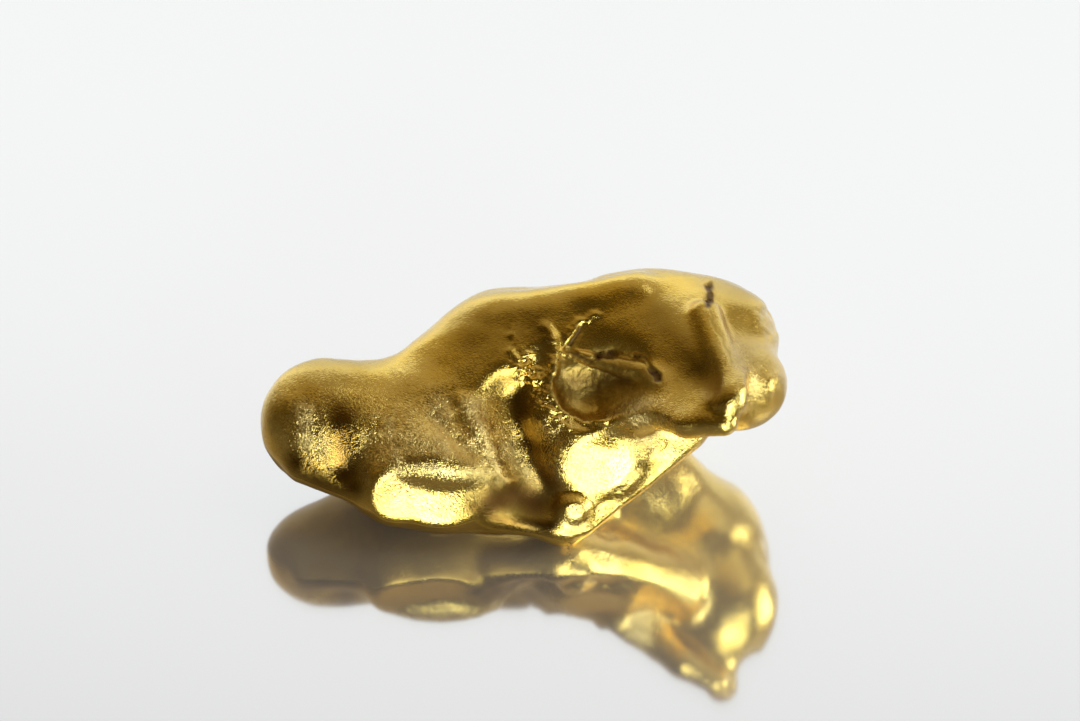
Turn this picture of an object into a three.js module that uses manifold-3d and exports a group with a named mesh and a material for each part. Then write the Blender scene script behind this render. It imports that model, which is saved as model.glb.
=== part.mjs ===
// A water-worn gold nugget: one solid lump of native gold, in millimetres, +Z up, resting on its worn foot.
// The nugget is a thick slab that leans back. Its lumps and hollows are laid out on its broad front face,
// in face axes: along (the part's +X), up the face, and out of the face.

import * as THREE from "three";
import { mergeVertices } from "three/addons/utils/BufferGeometryUtils.js";
import Module from "manifold-3d";

const LEAN = THREE.MathUtils.degToRad(50); // angle of the broad face above the ground
const FOOT_TO_MIDDLE = 3.0; // from the front edge of the foot back to the middle of the footprint
const GROUND = 0; // height the worn foot is ground flat at
const DETAIL = 20; // each icosahedron edge is divided into DETAIL + 1

// The form, built in this order. Each row adds a lump or cuts a hollow, blended in over `soft` millimetres.
//   egg: middle, half sizes, turn in degrees about along, up and out
//   bar: one end, the other end, radius at each
const FORM = [
  { name: "belly", soft: 1.0, add: egg([-0.4, 4.45, -0.75], [4.1, 4.8, 3.35]) },
  { name: "neck", soft: 1.6, add: egg([-4.6, 3.7, -0.2], [3.5, 2.9, 2.5], [0, 0, 4]) },
  { name: "jowl", soft: 1.0, add: egg([-3.2, 2.25, 0.8], [3.1, 2.35, 2.45], [0, 0, -4]) },
  { name: "jowl end", soft: 0.6, add: egg([-5.0, 1.75, 1.3], [1.25, 1.5, 1.65]) },
  { name: "knob", soft: 1.0, add: egg([-7.5, 4.1, 0.4], [2.5, 2.45, 2.05]) },
  { name: "lower edge of the knob", soft: 0.6, add: bar([-8.3, 2.4, 1.3], [-5.9, 1.5, 1.45], 0.55, 0.6) },
  { name: "chin", soft: 0.6, add: bar([-1.2, 1.0, 1.15], [1.3, 0.6, 1.1], 0.75, 0.7) },
  { name: "edge of the chin", soft: 0.5, add: bar([-1.0, 0.5, 1.3], [1.5, 0.2, 1.3], 0.5, 0.5) },
  { name: "keel", soft: 1.0, add: bar([1.7, 0.65, 0.9], [6.0, 4.1, 1.6], 1.05, 1.15) },
  { name: "edge of the keel", soft: 0.4, add: bar([2.35, 0.35, 1.5], [6.35, 3.65, 2.2], 0.42, 0.42) },
  { name: "bevel of the keel", soft: 0.15, cut: egg([5.3, -1.3, 11.35], [10.0, 10.0, 10.0]) },
  { name: "valley by the facet", soft: 0.8, cut: bar([-0.35, 5.0, 2.85], [0.6, 1.2, 2.75], 1.0, 0.9) },
  { name: "facet", soft: 0.4, add: egg([2.8, 2.9, 1.3], [2.35, 1.9, 1.7], [27, 0, 0]) },
  { name: "flat of the facet", soft: 0.2, cut: egg([3.1, -1.8, 15.85], [14.0, 14.0, 14.0]) },
  { name: "foot of the facet", soft: 0.3, add: egg([1.95, 0.9, 1.6], [0.7, 0.65, 0.85]) },
  { name: "flat of the foot", soft: 0.1, cut: egg([1.95, -0.34, 6.0], [3.85, 3.85, 3.85]) },
  { name: "crown", soft: 1.4, add: egg([3.9, 6.6, -0.6], [3.4, 3.2, 3.0]) },
  { name: "end lobe", soft: 0.9, add: egg([7.1, 6.75, -0.3], [2.5, 2.85, 2.8]) },
  { name: "front of the end lobe", soft: 0.8, add: egg([8.0, 7.5, 0.6], [1.7, 1.5, 1.9]) },
  { name: "end bulge", soft: 0.8, add: egg([8.2, 5.55, 2.1], [1.8, 1.75, 2.15]) },
  { name: "beak", soft: 1.4, add: bar([5.3, 7.5, 0.4], [7.65, 4.9, 5.4], 2.2, 0.6) },
  { name: "ridge over the beak", soft: 0.5, add: bar([6.9, 8.2, 2.9], [7.75, 5.2, 5.4], 0.55, 0.5) },
  { name: "inner ledge", soft: 0.7, add: bar([0.9, 4.4, 1.7], [4.3, 4.7, 2.9], 0.75, 1.0) },
  { name: "outer ledge", soft: 0.5, add: bar([4.6, 4.8, 3.2], [6.2, 4.2, 4.6], 0.8, 0.6) },
  { name: "end of the ledge", soft: 0.3, add: bar([6.2, 4.2, 4.6], [7.5, 4.15, 5.4], 0.6, 0.5) },
  { name: "filling over the ledge", soft: 0.5, add: bar([5.0, 5.5, 3.2], [6.9, 5.1, 4.6], 0.75, 0.7) },
  { name: "left face of the beak", soft: 0.15, cut: egg([3.15, 7.4, 9.53], [6.0, 6.0, 6.0]) },
  { name: "brow", soft: 0.7, add: egg([1.2, 7.65, -0.2], [3.0, 1.5, 2.0], [0, 0, 4]) },
  { name: "shoulder", soft: 0.8, add: bar([-3.2, 6.1, -0.1], [-1.1, 7.5, 0.0], 1.15, 1.3) },
  { name: "crest", soft: 0.6, add: bar([-0.9, 8.2, 0.75], [4.3, 9.1, 1.4], 0.6, 0.65) },
  { name: "back hump", soft: 1.4, add: egg([-1.6, 5.6, -3.0], [2.8, 2.3, 1.7]) },
  { name: "back end hump", soft: 1.4, add: egg([4.6, 5.4, -2.7], [2.4, 2.2, 1.9]) },
  { name: "back furrow", soft: 1.2, cut: bar([1.5, 8.0, -6.0], [1.8, 3.0, -5.8], 1.7, 1.5) },
  { name: "scoop under the crest", soft: 0.5, cut: bar([4.3, 9.3, 4.5], [5.6, 6.4, 5.7], 2.0, 1.8) },
  { name: "pocket mouth", soft: 0.5, cut: bar([2.1, 7.4, 3.5], [3.2, 6.3, 3.8], 1.25, 1.3) },
  { name: "pocket", soft: 0.5, cut: bar([2.3, 5.2, 3.1], [4.4, 5.5, 4.3], 1.15, 0.7) },
  { name: "tongue in the pocket", soft: 0.1, add: bar([1.4, 6.85, 1.95], [4.6, 5.95, 2.85], 0.12, 0.48) },
  { name: "pit beside the pocket", soft: 0.3, cut: egg([0.55, 6.5, 2.8], [0.55, 0.85, 0.75]) },
  { name: "dish", soft: 0.15, cut: egg([-3.4, -4.7, 15.05], [14.0, 14.0, 14.0]) },
  { name: "roll over the dish", soft: 0.3, add: egg([-3.1, 2.5, 2.4], [2.1, 0.75, 0.8], [0, 0, -5]) },
];

// ---- distances ----------------------------------------

// Distance to an egg-shaped lump, near enough close to its skin.
function egg(middle, [a, b, c], turn = [0, 0, 0]) {
  const euler = new THREE.Euler(...turn.map((degrees) => THREE.MathUtils.degToRad(degrees)));
  const m = new THREE.Matrix4().makeRotationFromEuler(euler).elements; // columns: the egg's own axes
  return (x, y, z) => {
    const dx = x - middle[0];
    const dy = y - middle[1];
    const dz = z - middle[2];
    const p = (m[0] * dx + m[1] * dy + m[2] * dz) / a;
    const q = (m[4] * dx + m[5] * dy + m[6] * dz) / b;
    const r = (m[8] * dx + m[9] * dy + m[10] * dz) / c;
    const reach = Math.sqrt(p * p + q * q + r * r);
    const slope = Math.sqrt((p * p) / (a * a) + (q * q) / (b * b) + (r * r) / (c * c));
    return slope < 1e-9 ? -Math.min(a, b, c) : (reach * (reach - 1)) / slope;
  };
}

// Distance to a round bar whose radius changes evenly from one end to the other.
function bar(from, to, radiusFrom, radiusTo) {
  const run = to.map((value, i) => value - from[i]);
  const length2 = run.reduce((sum, value) => sum + value * value, 0);
  return (x, y, z) => {
    const dx = x - from[0];
    const dy = y - from[1];
    const dz = z - from[2];
    const share = Math.min(1, Math.max(0, (dx * run[0] + dy * run[1] + dz * run[2]) / length2));
    const ex = dx - share * run[0];
    const ey = dy - share * run[1];
    const ez = dz - share * run[2];
    return Math.sqrt(ex * ex + ey * ey + ez * ez) - (radiusFrom + (radiusTo - radiusFrom) * share);
  };
}

// The smaller of two distances, with the corner between them rounded over.
function softMin(a, b, soft) {
  const overlap = Math.max(soft - Math.abs(a - b), 0) / soft;
  return Math.min(a, b) - (overlap * overlap * soft) / 4;
}

// Distance from a point to the nugget's skin before its foot is worn flat, negative inside.
function skin(x, y, z) {
  const back = y + FOOT_TO_MIDDLE;
  const up = back * Math.cos(LEAN) + z * Math.sin(LEAN);
  const out = z * Math.cos(LEAN) - back * Math.sin(LEAN);
  return FORM.reduce((d, { soft, add, cut }) => {
    if (add) return softMin(d, add(x, up, out), soft);
    return -softMin(-d, cut(x, up, out), soft);
  }, 1e3);
}

// ---- a closed sheet of triangles drawn tight over the form ----------------------------------------

const SHELL_MIDDLE = new THREE.Vector3(0, 0, 3.5);
const SHELL_HALF = new THREE.Vector3(13, 8.5, 8); // the sheet starts as this oval, clear of the form
const PASSES = 220; // passes that draw the sheet in and even out its triangles
const LAST_PASSES = 3; // closing passes that only draw in
const EVEN = 0.6; // share of the way each corner slides toward the middle of its neighbours
const TURN = 0.5; // millimetres of edge that a full turn of the skin counts for, so sharp places get more
const PROBE = 0.02; // step used to find which way the skin faces
const ON_GROUND = 0.1; // corners this near the ground are set right on it

function drawnSheet() {
  const ball = new THREE.IcosahedronGeometry(1, DETAIL);
  ball.deleteAttribute("normal");
  ball.deleteAttribute("uv");
  const sheet = mergeVertices(ball, 1e-5);
  const position = sheet.getAttribute("position");
  const corners = sheet.getIndex().array;
  const near = Array.from({ length: position.count }, () => new Set());
  corners.forEach((corner, i) => {
    const first = i - (i % 3);
    near[corner].add(corners[first + ((i + 1) % 3)]);
    near[corner].add(corners[first + ((i + 2) % 3)]);
  });
  let points = near.map((_, i) =>
    new THREE.Vector3().fromBufferAttribute(position, i).multiply(SHELL_HALF).add(SHELL_MIDDLE),
  );
  for (let pass = 0; pass < PASSES; pass++) {
    const even = pass < PASSES - LAST_PASSES ? EVEN : 0;
    const share = Math.min(1, 0.1 + pass / 60);
    const skins = points.map(skinAt);
    points = points.map((point, i) => {
      const slide = new THREE.Vector3();
      let total = 0;
      near[i].forEach((j) => {
        const weight = point.distanceTo(points[j]) + TURN * skins[i].facing.distanceTo(skins[j].facing);
        slide.addScaledVector(points[j], weight);
        total += weight;
      });
      slide.divideScalar(total).sub(point).multiplyScalar(even);
      slide.addScaledVector(skins[i].facing, -slide.dot(skins[i].facing) - share * skins[i].away);
      return slide.add(point);
    });
  }
  points.forEach(({ x, y, z }, i) => {
    position.setXYZ(i, x, y, Math.abs(z - GROUND) < ON_GROUND ? GROUND : z);
  });
  return sheet;
}

// How far a point is from the skin, and which way the skin there faces.
function skinAt({ x, y, z }) {
  const here = skin(x, y, z);
  const slope = new THREE.Vector3(
    skin(x + PROBE, y, z) - here,
    skin(x, y + PROBE, z) - here,
    skin(x, y, z + PROBE) - here,
  ).divideScalar(PROBE);
  const away = here / Math.max(slope.length(), 0.5);
  return { away, facing: slope.normalize() };
}

// ---- the solid ----------------------------------------

const wasm = await Module();
wasm.setup();

function solidOf(geometry) {
  geometry.deleteAttribute("normal");
  geometry.deleteAttribute("uv");
  const merged = mergeVertices(geometry, 1e-5);
  return new wasm.Manifold(
    new wasm.Mesh({
      numProp: 3,
      vertProperties: Float32Array.from(merged.getAttribute("position").array),
      triVerts: Uint32Array.from(merged.getIndex().array),
    }),
  );
}

function geometryOf(solid) {
  const mesh = solid.getMesh();
  const geometry = new THREE.BufferGeometry();
  geometry.setAttribute("position", new THREE.BufferAttribute(mesh.vertProperties, 3));
  geometry.setIndex(new THREE.BufferAttribute(mesh.triVerts, 1));
  geometry.computeVertexNormals();
  return geometry;
}

const BELOW = 10; // half size of the block that takes away all that is under the ground
const ground = new THREE.BoxGeometry(6 * BELOW, 6 * BELOW, 2 * BELOW).translate(0, 0, GROUND - BELOW);
const body = geometryOf(solidOf(drawnSheet()).subtract(solidOf(ground)));

const gold = new THREE.MeshStandardMaterial({ color: 0xd9a53a, roughness: 0.3, metalness: 1 });
gold.name = "gold";
const nugget = new THREE.Mesh(body, gold);
nugget.name = "nugget";
const part = new THREE.Group();
part.name = "gold_nugget";
part.add(nugget);

export default part;
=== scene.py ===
"""A water-worn gold nugget on a pale polished floor.

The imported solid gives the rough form. Its triangles are divided and drawn onto the same lumps and hollows,
with the finer relief added: cracks, creases, the pocket's rim, small humps and grain.
"""

import math

import bmesh
import bpy
import numpy as np
from mathutils import Matrix, Vector, noise


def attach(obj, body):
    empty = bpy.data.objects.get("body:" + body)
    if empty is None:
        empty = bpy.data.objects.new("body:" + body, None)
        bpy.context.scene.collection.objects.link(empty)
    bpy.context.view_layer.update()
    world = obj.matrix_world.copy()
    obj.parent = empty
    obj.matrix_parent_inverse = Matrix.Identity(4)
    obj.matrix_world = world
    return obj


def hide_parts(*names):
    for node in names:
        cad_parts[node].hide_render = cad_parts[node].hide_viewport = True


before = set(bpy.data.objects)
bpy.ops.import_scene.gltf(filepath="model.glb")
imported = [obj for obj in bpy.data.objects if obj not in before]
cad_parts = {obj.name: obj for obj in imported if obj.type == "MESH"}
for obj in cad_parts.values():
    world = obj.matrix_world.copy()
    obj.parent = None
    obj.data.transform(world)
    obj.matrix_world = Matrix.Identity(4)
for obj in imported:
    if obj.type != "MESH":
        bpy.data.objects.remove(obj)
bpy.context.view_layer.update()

MM = 0.001
NEAR_ZERO = 1e-9  # keeps a division from meeting 0

# ---- the form, in millimetres ------------------------------------------------
# Places are given on the nugget's leaning face: along it, up it and out of it.

LEAN = math.radians(50)  # how far the broad face leans back
FOOT_TO_MIDDLE = 3.0  # from the foot of the face back to the part's middle


def face_place(points):
    """Points of the part's own frame, in millimetres, as along, up and out."""
    back = points[:, 1] + FOOT_TO_MIDDLE
    up = back * math.cos(LEAN) + points[:, 2] * math.sin(LEAN)
    out = points[:, 2] * math.cos(LEAN) - back * math.sin(LEAN)
    return np.stack([points[:, 0], up, out], axis=1)


def egg(middle, half, turn=(0, 0, 0)):
    """The distance to an egg-shaped lump, turned in degrees about its three axes."""
    turns = [Matrix.Rotation(math.radians(angle), 3, axis) for angle, axis in zip(turn, "XYZ")]
    axes = np.array(turns[0] @ turns[1] @ turns[2])
    half = np.array(half, float)

    def distance(p):
        q = (p - np.array(middle)) @ axes / half
        reach = np.sqrt((q * q).sum(axis=1))
        slope = np.sqrt(((q / half) ** 2).sum(axis=1)) + NEAR_ZERO
        return reach * (reach - 1) / slope

    return distance


def bar(start, end, start_radius, end_radius):
    """The distance to a round bar whose radius changes evenly."""
    start = np.array(start, float)
    run = np.array(end, float) - start

    def distance(p):
        share = np.clip((p - start) @ run / (run @ run), 0, 1)
        off = p - start - share[:, None] * run
        return np.sqrt((off * off).sum(axis=1)) - start_radius - (end_radius - start_radius) * share

    return distance


def soft_min(a, b, soft):
    """The smaller of two distances, with the corner between them rounded."""
    overlap = np.maximum(soft - np.abs(a - b), 0) / soft
    return np.minimum(a, b) - overlap * overlap * soft / 4


ADD, CUT = 1, -1
FAR = 1e3

# each row: name, adds or cuts, width of the blend, shape; the rows work in this order
FORM = [
    ("belly", ADD, 1.0, egg((-0.4, 4.45, -0.75), (4.1, 4.8, 3.35))),
    ("neck", ADD, 1.6, egg((-4.6, 3.7, -0.2), (3.5, 2.9, 2.5), (0, 0, 4))),
    ("jowl", ADD, 1.0, egg((-3.2, 2.25, 0.8), (3.1, 2.35, 2.45), (0, 0, -4))),
    ("jowl end", ADD, 0.6, egg((-5.0, 1.75, 1.3), (1.25, 1.5, 1.65))),
    ("knob", ADD, 1.0, egg((-7.5, 4.1, 0.4), (2.5, 2.45, 2.05))),
    ("lower edge of the knob", ADD, 0.6, bar((-8.3, 2.4, 1.3), (-5.9, 1.5, 1.45), 0.55, 0.6)),
    ("chin", ADD, 0.6, bar((-1.2, 1.0, 1.15), (1.3, 0.6, 1.1), 0.75, 0.7)),
    ("edge of the chin", ADD, 0.5, bar((-1.0, 0.5, 1.3), (1.5, 0.2, 1.3), 0.5, 0.5)),
    ("keel", ADD, 1.0, bar((1.7, 0.65, 0.9), (6.0, 4.1, 1.6), 1.05, 1.15)),
    ("edge of the keel", ADD, 0.4, bar((2.35, 0.35, 1.5), (6.35, 3.65, 2.2), 0.42, 0.42)),
    ("bevel of the keel", CUT, 0.15, egg((5.3, -1.3, 11.35), (10.0, 10.0, 10.0))),
    ("valley by the facet", CUT, 0.8, bar((-0.35, 5.0, 2.85), (0.6, 1.2, 2.75), 1.0, 0.9)),
    ("facet", ADD, 0.4, egg((2.8, 2.9, 1.3), (2.35, 1.9, 1.7), (27, 0, 0))),
    ("flat of the facet", CUT, 0.2, egg((3.1, -1.8, 15.85), (14.0, 14.0, 14.0))),
    ("foot of the facet", ADD, 0.3, egg((1.95, 0.9, 1.6), (0.7, 0.65, 0.85))),
    ("flat of the foot", CUT, 0.1, egg((1.95, -0.34, 6.0), (3.85, 3.85, 3.85))),
    ("crown", ADD, 1.4, egg((3.9, 6.6, -0.6), (3.4, 3.2, 3.0))),
    ("end lobe", ADD, 0.9, egg((7.1, 6.75, -0.3), (2.5, 2.85, 2.8))),
    ("front of the end lobe", ADD, 0.8, egg((8.0, 7.5, 0.6), (1.7, 1.5, 1.9))),
    ("end bulge", ADD, 0.8, egg((8.2, 5.55, 2.1), (1.8, 1.75, 2.15))),
    ("beak", ADD, 1.4, bar((5.3, 7.5, 0.4), (7.65, 4.9, 5.4), 2.2, 0.6)),
    ("ridge over the beak", ADD, 0.5, bar((6.9, 8.2, 2.9), (7.75, 5.2, 5.4), 0.55, 0.5)),
    ("inner ledge", ADD, 0.7, bar((0.9, 4.4, 1.7), (4.3, 4.7, 2.9), 0.75, 1.0)),
    ("outer ledge", ADD, 0.5, bar((4.6, 4.8, 3.2), (6.2, 4.2, 4.6), 0.8, 0.6)),
    ("end of the ledge", ADD, 0.3, bar((6.2, 4.2, 4.6), (7.5, 4.15, 5.4), 0.6, 0.5)),
    ("filling over the ledge", ADD, 0.5, bar((5.0, 5.5, 3.2), (6.9, 5.1, 4.6), 0.75, 0.7)),
    ("left face of the beak", CUT, 0.15, egg((3.15, 7.4, 9.53), (6.0, 6.0, 6.0))),
    ("brow", ADD, 0.7, egg((1.2, 7.65, -0.2), (3.0, 1.5, 2.0), (0, 0, 4))),
    ("shoulder", ADD, 0.8, bar((-3.2, 6.1, -0.1), (-1.1, 7.5, 0.0), 1.15, 1.3)),
    ("crest", ADD, 0.6, bar((-0.9, 8.2, 0.75), (4.3, 9.1, 1.4), 0.6, 0.65)),
    ("back hump", ADD, 1.4, egg((-1.6, 5.6, -3.0), (2.8, 2.3, 1.7))),
    ("back end hump", ADD, 1.4, egg((4.6, 5.4, -2.7), (2.4, 2.2, 1.9))),
    ("back furrow", CUT, 1.2, bar((1.5, 8.0, -6.0), (1.8, 3.0, -5.8), 1.7, 1.5)),
    ("scoop under the crest", CUT, 0.5, bar((4.3, 9.3, 4.5), (5.6, 6.4, 5.7), 2.0, 1.8)),
    ("pocket mouth", CUT, 0.5, bar((2.1, 7.4, 3.5), (3.2, 6.3, 3.8), 1.25, 1.3)),
    ("pocket", CUT, 0.5, bar((2.3, 5.2, 3.1), (4.4, 5.5, 4.3), 1.15, 0.7)),
    ("tongue in the pocket", ADD, 0.1, bar((1.4, 6.85, 1.95), (4.6, 5.95, 2.85), 0.12, 0.48)),
    ("pit beside the pocket", CUT, 0.3, egg((0.55, 6.5, 2.8), (0.55, 0.85, 0.75))),
    ("dish", CUT, 0.15, egg((-3.4, -4.7, 15.05), (14.0, 14.0, 14.0))),
    ("roll over the dish", ADD, 0.3, egg((-3.1, 2.5, 2.4), (2.1, 0.75, 0.8), (0, 0, -5))),
]


def form(p):
    """The distance to the nugget's skin at face places."""
    d = np.full(len(p), FAR)
    for _name, kind, soft, shape in FORM:
        d = kind * soft_min(kind * d, shape(p), soft)
    return d


# ---- relief on the broad face ------------------------------------------------
# A line is a list of places along and up the face. A stroke raises or cuts the skin along its line.

CREVICE = [
    (1.7, 6.86), (2.05, 6.66), (2.5, 6.45), (2.9, 6.6),
    (3.4, 6.68), (4.0, 6.62), (4.6, 6.56), (5.05, 5.8),
]
CREVICE_MOUTH = [(2.85, 6.62), (3.35, 6.7)]
CREVICE_END = [(4.85, 6.1), (5.05, 5.8)]
SLIT = [(1.75, 6.9), (2.0, 7.3), (2.15, 7.65)]
SLOT = [(7.08, 9.3), (7.1, 9.0), (7.0, 8.55)]
CREASE = [(7.0, 8.5), (7.15, 7.9), (7.6, 7.0), (7.85, 6.4)]
RIM = [(1.2, 6.3), (1.05, 5.4), (1.5, 4.6), (2.3, 4.2), (3.0, 4.2)]

# each row: name, height (minus cuts in), half width, line
STROKES = [
    ("crevice", -0.15, 0.09, CREVICE),
    ("crevice mouth", -0.15, 0.13, CREVICE_MOUTH),
    ("crevice end", -0.15, 0.13, CREVICE_END),
    ("slit up from the crevice", -0.15, 0.09, SLIT),
    ("edge of the slit", 0.07, 0.15, [(1.75, 7.35), (2.1, 7.9), (2.8, 8.2)]),
    ("slot", -0.15, 0.12, SLOT),
    ("crease", -0.015, 0.1, CREASE),
    ("keel groove", -0.03, 0.15, [(2.4, 0.6), (2.9, 0.9), (3.8, 1.7), (4.8, 2.8), (5.3, 3.3)]),
    ("pocket rim", 0.1, 0.16, RIM),
    ("wall between pit and pocket", 0.14, 0.2, [(0.95, 7.7), (1.2, 7.1), (1.25, 6.2)]),
    ("slanting ridge", 0.12, 0.3, [(-2.2, 4.9), (-1.3, 3.4), (-0.6, 1.9)]),
    ("slanting trough", -0.14, 0.3, [(-3.3, 4.2), (-2.0, 2.9)]),
    ("end nodule", 0.18, 0.3, [(9.3, 5.4), (9.35, 5.7)]),
    ("crease nodule", 0.15, 0.25, [(8.15, 5.5), (8.3, 6.0)]),
    ("notch", -0.2, 0.3, [(9.2, 8.2), (9.5, 7.7)]),
]


def stroke_height(p, line, width):
    """1 on the line, falling to 0 about twice the width away."""
    nearest = np.full(len(p), np.inf)
    for start, end in zip(line, line[1:]):
        start = np.array(start)
        run = np.array(end) - start
        share = np.clip((p[:, :2] - start) @ run / (run @ run), 0, 1)
        off = p[:, :2] - start - share[:, None] * run
        nearest = np.minimum(nearest, (off * off).sum(axis=1))
    return np.exp(-nearest / width**2)


def ramp(value, low, high):
    """0 below low, 1 above high, smooth between."""
    share = np.clip((value - low) / (high - low), 0, 1)
    return share * share * (3 - 2 * share)


def on_front(p):
    """1 where a face place is on the front of the nugget, 0 on its back, smooth between."""
    return ramp(p[:, 2], -0.4, 0.4)


WAVY = 0.035  # how far a stroke's line sways
FRAYED = 0.015  # how far its edges waver on top of that


def shaken(p):
    """Face places shifted a little this way and that, which makes strokes uneven."""
    along = p[:, 0]
    up = p[:, 1]
    shifted = p.copy()
    shifted[:, 0] += WAVY * np.sin(up * 9.1 + 1.7 * np.sin(along * 5.3))
    shifted[:, 0] += FRAYED * np.sin(up * 21.0 + along * 13.0)
    shifted[:, 1] += WAVY * np.sin(along * 8.3 + 1.9 * np.sin(up * 4.7))
    shifted[:, 1] += FRAYED * np.sin(along * 23.0 - up * 11.0)
    return shifted


def relief(p):
    """How far the strokes raise the skin."""
    raised = np.zeros(len(p))
    uneven = shaken(p)
    for _name, height, width, line in STROKES:
        raised += height * stroke_height(uneven, line, width)
    return raised * on_front(p)


def skin(points):
    """The distance from points of the part's own frame to the skin, strokes and all."""
    place = face_place(points)
    return form(place) - relief(place)


# ---- the fine mesh -----------------------------------------------------------

DIVISIONS = 2  # how often every triangle is divided
NARROW = 0.2  # strokes narrower than this get one division more
BESIDE_STROKE = 0.35  # how far to each side of a narrow stroke that reaches
ABOUT_POCKET = [(0.4, 5.6), (3.2, 5.6)]
POCKET_REACH = 1.0
CLOSE = 0.37  # a stroke's height its own width away
TOUCHING = 1e-4  # nearer than this counts as touching
PROBE = 0.01  # the step that the skin's slope is measured over
LEAST_SLOPE = 0.5  # a flatter slope would throw a corner too far
MOVES = 10  # how often the corners are moved onto the skin
EVENING_MOVES = 7  # how many of those moves even the triangles too
EVENING = 0.4  # the share of the way to the middle of its neighbours that a corner goes


def needs_fine(place):
    """True close to the narrow strokes and about the pocket."""
    near = stroke_height(place, ABOUT_POCKET, POCKET_REACH)
    for _name, _height, width, line in STROKES:
        if width < NARROW:
            near = np.maximum(near, stroke_height(place, line, BESIDE_STROKE))
    return (near > CLOSE) & (place[:, 2] > 0)


def divide(mesh, edges, fill):
    """Cuts edges in half, and the faces beside them into triangles."""
    bmesh.ops.subdivide_edges(mesh, edges=edges, cuts=1, use_grid_fill=fill)
    bmesh.ops.triangulate(mesh, faces=[face for face in mesh.faces if len(face.verts) > 3])


def divided_solid():
    """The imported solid's mesh in millimetres, divided, and once more where the relief is narrow."""
    mesh = bmesh.new()
    mesh.from_mesh(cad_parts["nugget"].data)
    mesh.transform(Matrix.Scale(1 / MM, 4))
    bmesh.ops.remove_doubles(mesh, verts=mesh.verts, dist=TOUCHING)
    for _ in range(DIVISIONS):
        divide(mesh, mesh.edges, True)
    middles = np.array([(edge.verts[0].co + edge.verts[1].co) / 2 for edge in mesh.edges])
    wanted = needs_fine(face_place(middles))
    divide(mesh, [edge for edge, fine in zip(mesh.edges, wanted) if fine], False)
    return mesh


def slope_of(points, here):
    """Which way and how fast the distance to the skin grows, where it is `here` at the points."""
    slope = np.empty_like(points)
    for axis in range(3):
        moved = points.copy()
        moved[:, axis] += PROBE
        slope[:, axis] = (skin(moved) - here) / PROBE
    return slope


def drawn_onto_form(mesh):
    """The mesh's corners drawn onto the skin with even triangles, and the skin's facing there."""
    points = np.array([corner.co for corner in mesh.verts])
    mesh.verts.index_update()
    ends = np.array([(edge.verts[0].index, edge.verts[1].index) for edge in mesh.edges])
    free = points[:, 2] > TOUCHING
    neighbours = np.bincount(ends.ravel(), minlength=len(points))[:, None]
    for step in range(MOVES):
        here = skin(points)
        slope = slope_of(points, here)
        steepness = np.linalg.norm(slope, axis=1)
        facing = slope / np.maximum(steepness, NEAR_ZERO)[:, None]
        total = np.zeros_like(points)
        for axis in range(3):
            total[:, axis] = np.bincount(ends[:, 0], points[ends[:, 1], axis], len(points))
            total[:, axis] += np.bincount(ends[:, 1], points[ends[:, 0], axis], len(points))
        slide = (total / neighbours - points) * (EVENING if step < EVENING_MOVES else 0)
        slide -= (slide * facing).sum(axis=1)[:, None] * facing
        move = slide - facing * (here / np.maximum(steepness, LEAST_SLOPE))[:, None]
        points[free] += move[free]
        points[:, 2] = np.maximum(points[:, 2], 0)
    return points, facing


# ---- grain, and stain, dirt and frost with painted shade and highlight -------

IN_POCKET = [(2.2, 5.6), (3.8, 5.9)]

# each row: amount, half width, line
PEBBLY = [(1.0, 1.5, [(-3.0, 4.0), (-1.0, 3.2), (0.4, 2.0)])]
CRUMBLED = [
    (1.0, 0.38, [(0.1, 6.4), (0.6, 5.3), (1.0, 4.5), (1.6, 4.05)]),
    (0.6, 0.2, [(-0.4, 7.6), (-0.45, 6.9), (-0.1, 6.1)]),
    (0.22, 0.9, IN_POCKET),
]
MATTE = [(1.0, 1.0, IN_POCKET)]
# brown oxide stain in the pocket, and painted shade: brown painted where faces turn from the light, in the
# valley by the facet, under the brow and crest, on the knob, the chin, the lower edges and the roll over the
# dish
STAINED_AND_SHADED = [
    (0.85, 1.0, [(1.7, 5.5), (3.8, 5.8)]),
    (0.55, 1.0, [(-1.8, 7.3), (0.4, 7.5)]),
    (0.2, 1.0, [(0.6, 7.6), (2.6, 7.6)]),
    (0.6, 0.95, [(5.0, 8.1), (5.9, 7.4), (6.9, 5.4)]),
    (0.3, 1.0, [(4.3, 7.8), (4.8, 7.3)]),
    (0.4, 0.5, [(6.0, 4.7), (6.8, 4.5)]),
    (0.35, 0.9, [(-7.8, 5.8), (-6.4, 5.9)]),
    (0.9, 0.65, [(-0.2, 5.0), (0.1, 4.0), (0.6, 2.8), (0.85, 1.6)]),
    (1.0, 0.95, [(0.5, 1.1), (-0.2, 1.5), (-1.1, 1.1)]),
    (0.7, 0.5, [(-0.8, 5.6), (-0.4, 5.8)]),
    (1.0, 0.8, [(-6.8, 4.4), (-6.8, 2.2)]),
    (0.9, 0.6, [(-8.6, 2.6), (-7.6, 1.9), (-6.4, 1.6)]),
    (1.0, 0.45, [(-1.8, 0.9), (-0.9, 0.4), (1.0, 0.2)]),
    (0.5, 0.25, [(-4.2, 2.75), (-2.2, 2.6)]),
    (0.45, 1.4, [(8.2, 8.5), (8.6, 6.3)]),
]
# dark dirt and painted shade in the crevice, slit, slot and crease, and painted shade along the chin's
# underside
DIRTY_AND_SHADED = [
    (0.75, 0.12, CREVICE),
    (1.0, 0.24, CREVICE_MOUTH),
    (1.0, 0.24, CREVICE_END),
    (0.9, 0.16, SLIT),
    (0.8, 0.24, SLOT),
    (0.5, 0.1, CREASE),
    (0.65, 0.9, [(0.5, 1.0), (-0.3, 1.3), (-1.1, 1.1)]),
]
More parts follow.
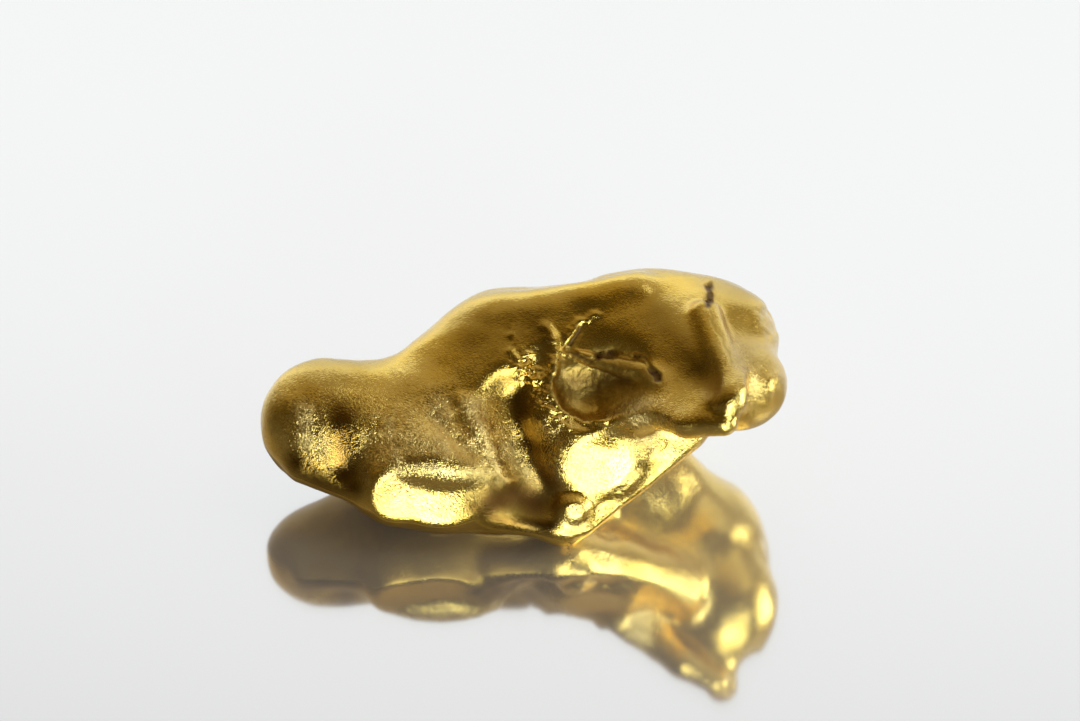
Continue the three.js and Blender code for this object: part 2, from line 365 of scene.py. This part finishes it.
# frosted grain, and a painted highlight: the frosted patches are painted a paler gold
FROSTED_AND_HIGHLIGHTED = [
    (0.8, 1.7, [(-7.4, 3.4), (-1.0, 2.8), (0.6, 2.6)]),
    (0.5, 1.2, [(4.2, 4.6), (6.0, 3.6)]),
    (1.0, 0.55, [(-8.2, 4.6), (-8.1, 2.7)]),
    (1.0, 0.4, [(-5.0, 4.0), (-4.7, 2.4)]),
    (1.0, 0.7, [(-3.1, 4.6), (-2.9, 2.9)]),
    (1.0, 0.55, [(-1.95, 4.7), (-0.6, 1.75)]),
    (1.0, 0.35, [(2.2, 0.9), (2.6, 1.4)]),
    (1.0, 0.7, [(4.2, 4.6), (5.0, 3.2)]),
    (1.0, 0.7, [(8.2, 6.7), (8.8, 5.6)]),
]
SMOOTH = [
    (1.0, 1.0, [(-4.8, 1.3), (-2.4, 1.1)]),
    (1.0, 0.9, [(2.2, 1.4), (2.9, 3.2)]),
    (1.0, 0.6, [(2.4, 0.5), (6.2, 3.8)]),
]
WORN = 0.9  # how much of the grain, the frost and its painted highlight is gone where the gold is smooth

# each row: size, height everywhere, added height where pebbly, added height where crumbled
GRAIN = [
    (0.95, 0.035, 0.035, 0.0),
    (0.4, 0.006, 0.012, 0.0),
    (0.26, 0.0, 0.0, 0.14),
    (0.13, 0.0, 0.0, 0.07),
]


def strongest(place, marks):
    """The strongest of several marks, each an amount, a half width and a line."""
    value = np.zeros(len(place))
    for amount, width, line in marks:
        value = np.maximum(value, amount * stroke_height(place, line, width))
    return value


def lumpy(points, size, seed):
    """Smooth bumps of about the given size, from -1 to 1."""
    shift = Vector((seed * 7.3, seed * 3.1, seed * 5.7))
    return np.array([noise.noise(Vector(point) / size + shift) for point in points])


def grained(points, facing):
    """The points moved in and out by the nugget's pebbly and crumbled grain."""
    place = face_place(points)
    front = on_front(place)
    crumbled = strongest(place, CRUMBLED) * front
    pebbly = strongest(place, PEBBLY) * front
    height = np.zeros(len(points))
    for seed, (size, plain, pebbles, crumbs) in enumerate(GRAIN, 1):
        height += (plain + pebbles * pebbly + crumbs * crumbled) * lumpy(points, size, seed)
    above_foot = ramp(points[:, 2], 0, 0.3)
    height *= above_foot * (1 - WORN * strongest(place, SMOOTH) * front)
    return points + facing * height[:, None]


def keep(data, name, values):
    """Keeps one number for each corner of the mesh, for the finish to read."""
    layer = data.attributes.new(name, "FLOAT", "POINT")
    layer.data.foreach_set("value", np.clip(values, 0, 1).astype(np.float32))


def mark(data, points, facing):
    """Marks where the gold is dirty, stained, dull and frosted, with painted shade in its cracks, on faces
    turned from the light and on the left underside, and a painted highlight on the frosted patches.
    """
    place = face_place(points)
    front = on_front(place)
    stain_and_shade = strongest(place, STAINED_AND_SHADED)
    frost_and_highlight = strongest(place, FROSTED_AND_HIGHLIGHTED) * (1 - WORN * strongest(place, SMOOTH)) * (1 - stain_and_shade)
    # painted shade on the left underside, which lies in the nugget's own shadow: stained darker brown there
    # and made duller
    shaded_left_underside = ramp(-facing[:, 2], 0.1, 0.3) * ramp(-points[:, 0], -2.5, 0)
    keep(data, "dirt_and_shade", strongest(shaken(place), DIRTY_AND_SHADED) * front)
    keep(data, "stain_and_shade", np.maximum(stain_and_shade * front, 0.8 * shaded_left_underside))
    keep(data, "matte", np.maximum(strongest(place, MATTE) * front, shaded_left_underside))
    keep(data, "frost_and_highlight", frost_and_highlight * front)


def nugget_piece():
    """The nugget's fine mesh, in metres, with its marks."""
    mesh = divided_solid()
    points, facing = drawn_onto_form(mesh)
    points = grained(points, facing)
    for corner, point in zip(mesh.verts, points):
        corner.co = point * MM
    data = bpy.data.meshes.new("gold_nugget")
    mesh.to_mesh(data)
    mesh.free()
    mark(data, points, facing)
    for face in data.polygons:
        face.use_smooth = True
    piece = bpy.data.objects.new("gold_nugget", data)
    bpy.context.scene.collection.objects.link(piece)
    return piece


# ---- finishes ----------------------------------------------------------------


class Value:
    """A shader socket that takes part in sums: each operator adds its Math node."""

    def __init__(self, finish, socket):
        self.finish = finish
        self.socket = socket

    def math(self, operation, left, right):
        return self.finish.node("ShaderNodeMath", {"operation": operation}, {0: left, 1: right})

    def __add__(self, other):
        return self.math("ADD", self, other)

    def __sub__(self, other):
        return self.math("SUBTRACT", self, other)

    def __rsub__(self, other):
        return self.math("SUBTRACT", other, self)

    def __mul__(self, other):
        return self.math("MULTIPLY", self, other)

    __radd__ = __add__
    __rmul__ = __mul__


class Finish:
    """The nodes of one material or of the surroundings."""

    def __init__(self, tree):
        self.tree = tree
        tree.nodes.clear()

    def node(self, kind, settings=None, inputs=None, output=0):
        """One node: its settings first, then each input's value or link. Gives the output asked for."""
        made = self.tree.nodes.new(kind)
        for name, value in (settings or {}).items():
            setattr(made, name, value)
        for name, value in (inputs or {}).items():
            if isinstance(value, Value):
                self.tree.links.new(value.socket, made.inputs[name])
            else:
                made.inputs[name].default_value = value
        return Value(self, made.outputs[output]) if made.outputs else made

    def noise(self, where, size, detail=2.0, roughness=0.5):
        """Cloudy noise from 0 to 1 whose lumps are about the given size in metres."""
        inputs = {"Vector": where, "Scale": 1 / size, "Detail": detail, "Roughness": roughness}
        return self.node("ShaderNodeTexNoise", {}, inputs)

    def between(self, value, low, high):
        """0 where the value is low, 1 where it is high, smooth between."""
        inputs = {"Value": value, "From Min": low, "From Max": high}
        return self.node("ShaderNodeMapRange", {"interpolation_type": "SMOOTHSTEP"}, inputs)

    def cells(self, where, size):
        """A colour of its own for each small cell of the given size in metres."""
        return self.node("ShaderNodeTexVoronoi", {}, {"Vector": where, "Scale": 1 / size}, output="Color")

    def vector(self, operation, *inputs):
        """Vector maths on its inputs."""
        return self.node("ShaderNodeVectorMath", {"operation": operation}, dict(enumerate(inputs)))

    def tilted(self, colours, amount):
        """The skin's facing, leaning a little differently in each coloured cell."""
        amounts = self.node("ShaderNodeCombineXYZ", {}, {0: amount, 1: amount, 2: amount})
        lean = self.vector("SUBTRACT", colours, (0.5, 0.5, 0.5))
        lean = self.vector("MULTIPLY", lean, amounts)
        facing = self.node("ShaderNodeNewGeometry", output="Normal")
        return self.vector("NORMALIZE", self.vector("ADD", facing, lean))

    def marked(self, name):
        """The number that the mesh keeps under this name."""
        return self.node("ShaderNodeAttribute", {"attribute_name": name}, output="Fac")

    def mix(self, share, first, second):
        """A colour between two: the first where the share is 0, the second where it is 1."""
        return self.node("ShaderNodeMix", {"data_type": "RGBA"}, {0: share, 6: first, 7: second}, 2)

    def surface(self, inputs):
        """Ends a material in one shader with these inputs."""
        shader = self.node("ShaderNodeBsdfPrincipled", {}, inputs)
        self.node("ShaderNodeOutputMaterial", {}, {"Surface": shader})


DEEP_GOLD = (0.92, 0.62, 0.10, 1)
LIGHT_GOLD = (0.93, 0.67, 0.16, 1)
# paler gold painted on the frosted patches as a highlight
PALE_HIGHLIGHT_GOLD = (0.95, 0.75, 0.35, 1)
# brown of the pocket's oxide stain and of the painted shade
BROWN_STAIN_AND_SHADE = (0.16, 0.075, 0.014, 1)
# dark of the dirt and of the painted shade in the cracks
DARK_DIRT_AND_SHADE = (0.11, 0.042, 0.009, 1)


def gold_finish():
    """Native gold: stained brown in its hollows and painted brown with shade where it turns from the light,
    dirty and painted dark with shade in its cracks, and frosted with fine grain, its frosted patches painted
    paler as a highlight.
    """
    material = bpy.data.materials.new("native_gold")
    material.use_nodes = True
    f = Finish(material.node_tree)
    where = f.node("ShaderNodeTexCoord", output="Object")
    dirt_and_shade = f.marked("dirt_and_shade")
    stain_and_shade = f.marked("stain_and_shade")
    frost_and_highlight = f.marked("frost_and_highlight")
    matte = f.marked("matte")
    patches = f.between(f.noise(where, 2.2 * MM, 3), 0.35, 0.65)
    cloud = f.between(f.noise(where, 0.7 * MM, 3), 0.35, 0.65)
    grain = f.noise(where, 0.1 * MM, 2, 0.65)
    fine = f.noise(where, 0.05 * MM, 1)
    flakes = f.cells(where, 0.09 * MM)
    gold = f.mix(patches, DEEP_GOLD, LIGHT_GOLD)
    # painted highlight: the frosted patches a paler gold
    gold = f.mix(frost_and_highlight * 0.5, gold, PALE_HIGHLIGHT_GOLD)
    # the pocket's oxide stain and painted shade, in brown
    gold = f.mix(stain_and_shade * 0.9, gold, BROWN_STAIN_AND_SHADE)
    # dirt and painted shade: dark in the cracks and under the chin
    gold = f.mix(f.between(dirt_and_shade, 0.3, 0.9), gold, DARK_DIRT_AND_SHADE)
    frosted = frost_and_highlight * (0.6 + 0.4 * cloud) + cloud * 0.06
    rough = 0.15 + 0.15 * frosted + 0.1 * grain + 0.4 * dirt_and_shade + 0.3 * matte
    relief = (grain + 0.4 * fine) * (0.3 + 1.2 * frosted)
    flaky = f.tilted(flakes, 0.04 + 0.55 * frosted)
    bump = f.node("ShaderNodeBump", {}, {"Distance": 0.036 * MM, "Height": relief, "Normal": flaky})
    f.surface({
        "Base Color": gold,
        "Metallic": 1.0 - 0.8 * f.between(dirt_and_shade, 0.4, 0.9),
        "Roughness": rough,
        "Specular IOR Level": 0.1,
        "Coat Weight": 0.4 - 0.4 * stain_and_shade,
        "Coat Roughness": 0.2,
        "Coat IOR": 1.45,
        "Normal": bump,
    })
    return material


nugget = nugget_piece()
nugget.data.materials.append(gold_finish())
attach(nugget, "root")
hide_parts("nugget")

# ---- floor, light and camera -------------------------------------------------


def floor_finish():
    """Pale and polished."""
    material = bpy.data.materials.new("polished_floor")
    material.use_nodes = True
    pale = (0.92, 0.92, 0.92, 1)
    Finish(material.node_tree).surface({"Base Color": pale, "Metallic": 0.75, "Roughness": 0.085})
    return material


def floor_piece():
    """One wide square for the nugget to lie on."""
    half = 3.0
    corners = [(-half, -half, 0), (half, -half, 0), (half, half, 0), (-half, half, 0)]
    data = bpy.data.meshes.new("floor")
    data.from_pydata(corners, [], [(0, 1, 2, 3)])
    piece = bpy.data.objects.new("floor", data)
    bpy.context.scene.collection.objects.link(piece)
    data.materials.append(floor_finish())


AMBER = (1.0, 0.68, 0.2, 1)
WHITE = (0.97, 0.99, 1.0, 1)


def surroundings():
    """Soft white light from behind and above, dim and warm in front."""
    world = bpy.data.worlds.new("studio")
    bpy.context.scene.world = world
    world.use_nodes = True
    f = Finish(world.node_tree)
    way = f.node("ShaderNodeTexCoord", output="Generated")
    along, back, up = (f.node("ShaderNodeSeparateXYZ", {}, {0: way}, axis) for axis in range(3))
    behind = f.between(back + along * 0.05, 0.55, 0.8)
    straight_behind = f.between(back, 0.84, 0.98)
    above = f.between(back * 0.6 + up * 0.5 + along * 0.15, 0.0, 0.6)
    lit = behind * 0.68 + above * 0.32 - straight_behind * 0.3
    tone = f.mix(f.between(lit, 0.0, 0.7), AMBER, WHITE)
    light = f.node("ShaderNodeBackground", {}, {"Color": tone, "Strength": lit * 1.12 + 0.06})
    f.node("ShaderNodeOutputWorld", {}, {"Surface": light})


NUGGET_MIDDLE = Vector((0, 0, 4 * MM))
COOL_WHITE = (0.82, 0.91, 1.0)

# each row: name, place, width and height, power in watts
LAMPS = [
    ("low_front_light", (0.05, -0.9, 0.1), (0.36, 0.22), 2.4),
    ("low_right_light", (0.44, -0.76, 0.27), (0.35, 0.2), 1.7),
    ("low_side_light", (0.9, -0.05, 0.13), (0.5, 0.36), 4.0),
    ("high_right_light", (0.55, -0.02, 0.85), (0.4, 0.4), 0.6),
]


def lamp(name, place, size, power):
    """A soft rectangular light at the place, facing the nugget."""
    data = bpy.data.lights.new(name, "AREA")
    data.shape = "RECTANGLE"
    data.size = size[0]
    data.size_y = size[1]
    data.energy = power
    data.color = COOL_WHITE
    made = bpy.data.objects.new(name, data)
    made.location = place
    made.rotation_euler = (Vector(place) - NUGGET_MIDDLE).to_track_quat("Z", "Y").to_euler()
    bpy.context.scene.collection.objects.link(made)


def camera():
    """Looks along +Y from 40 degrees above the floor, with a long lens."""
    data = bpy.data.cameras.new("camera")
    made = bpy.data.objects.new("camera", data)
    bpy.context.scene.collection.objects.link(made)
    bpy.context.scene.camera = made
    rise = math.radians(40)
    distance = 0.19
    along = 0.667 * MM
    up = 6.46 * MM
    out = 0.3 * MM
    away = Vector((0, -math.cos(rise), math.sin(rise)))
    upward = Vector((0, math.sin(rise), math.cos(rise)))
    foot = Vector((0, -FOOT_TO_MIDDLE * MM, 0))
    target = foot + Vector((along, 0, 0)) + upward * up + away * out
    made.location = target + away * distance
    made.rotation_euler = away.to_track_quat("Z", "Y").to_euler()
    data.lens = 166
    data.sensor_width = 36
    data.clip_start = 0.01
    data.clip_end = 10


bpy.context.scene.view_settings.view_transform = "Standard"
floor_piece()
surroundings()
for row in LAMPS:
    lamp(*row)
camera()
